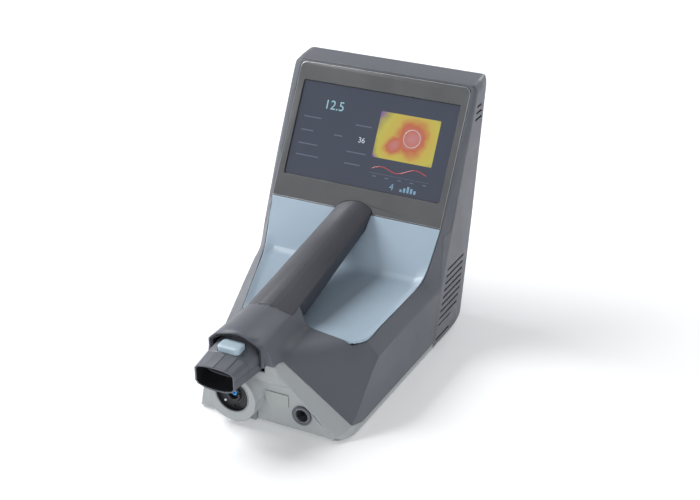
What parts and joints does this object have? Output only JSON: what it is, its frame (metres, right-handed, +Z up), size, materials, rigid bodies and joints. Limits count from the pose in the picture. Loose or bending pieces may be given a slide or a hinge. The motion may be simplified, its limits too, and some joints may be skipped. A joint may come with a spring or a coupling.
{
  "type": "laser therapy device",
  "caption": "Desktop laser therapy unit with a leaning touch display over a scooped tray, a carry handle across it, a docked handpiece with trigger button, and a fibre socket in front.",
  "frame": {"origin": "middle of the footprint, on the surface that the feet stand on", "axes": "+X to the right of a person facing the display, +Y from the handpiece to the back, +Z up"},
  "size_m": [0.2118, 0.3672, 0.2423],
  "materials": {
    "hood_plastic": "satin moulded plastic",
    "side_plastic": "satin moulded plastic",
    "pale_plastic": "satin moulded plastic",
    "tray_plastic": "satin moulded plastic",
    "bezel_metal": "metallic satin",
    "screen_glass": "smooth clear",
    "grip_plastic": "fine matte texture",
    "black_plastic": "satin",
    "board_green": "coated circuit board",
    "bar_steel": "brushed",
    "silver_metal": "milled",
    "blue_plastic": "gloss",
    "button_plastic": "satin",
    "foot_rubber": "matte",
    "plate_film": "satin film",
    "lens_glass": "coated clear"
  },
  "bodies": {
    "housing": {"front_housing": "hood_plastic", "rear_cover": "side_plastic", "base_shell": "pale_plastic", "display_bezel": "bezel_metal", "display_glass": "screen_glass", "display_module": "black_plastic", "display_board": "board_green", "tray": "tray_plastic", "handle_cover": "hood_plastic", "handle_grip": "grip_plastic", "handle_bar": "bar_steel", "dock_gasket": "foot_rubber", "dock_cradle": "grip_plastic", "socket_ring": "pale_plastic", "socket_body": "black_plastic", "socket_ferrule": "blue_plastic", "socket_pin": "silver_metal", "port_shell": "hood_plastic", "port_insert": "black_plastic", "label_plate": "plate_film", "chassis_plate": "bar_steel", "power_supply": "bar_steel", "heat_sink": "silver_metal", "laser_module": "bar_steel", "main_board": "board_green", "fan_frame": "black_plastic", "mains_inlet": "black_plastic", "switch_frame": "black_plastic", "foot_front_right": "foot_rubber", "foot_front_left": "foot_rubber", "foot_rear_right": "foot_rubber", "foot_rear_left": "foot_rubber", "screw_front_right": "bar_steel", "screw_front_left": "bar_steel", "screw_middle_right": "bar_steel", "screw_middle_left": "bar_steel"},
    "handpiece": {"handpiece_nozzle": "hood_plastic", "handpiece_upper_shell": "hood_plastic", "handpiece_lower_shell": "hood_plastic", "trigger_switch": "black_plastic", "optic_barrel": "silver_metal", "optic_lens": "lens_glass"},
    "trigger": {"trigger_button": "button_plastic"},
    "fan": {"fan_rotor": "grip_plastic"},
    "rocker": {"rocker_switch": "black_plastic"}
  },
  "joints": [
    {"name": "handpiece_undock", "type": "slide", "parent": "housing", "child": "handpiece", "axis": [0, -1, 0], "range_m": [0, 0.1]},
    {"name": "trigger_press", "type": "slide", "parent": "handpiece", "child": "trigger", "axis": [0, 0, -1], "range_m": [0, 0.0015], "stiffness_N_per_m": 600},
    {"name": "fan_spin", "type": "hinge", "parent": "housing", "child": "fan", "pos_m": [-0.03, 0.15196, 0.15454], "axis": [0, 0.9697, -0.2444], "continuous": true},
    {"name": "power_rocker", "type": "hinge", "parent": "housing", "child": "rocker", "pos_m": [0.062, 0.14401, 0.09273], "axis": [0, -0.2444, -0.9697], "range_deg": [0, 16]}
  ]
}
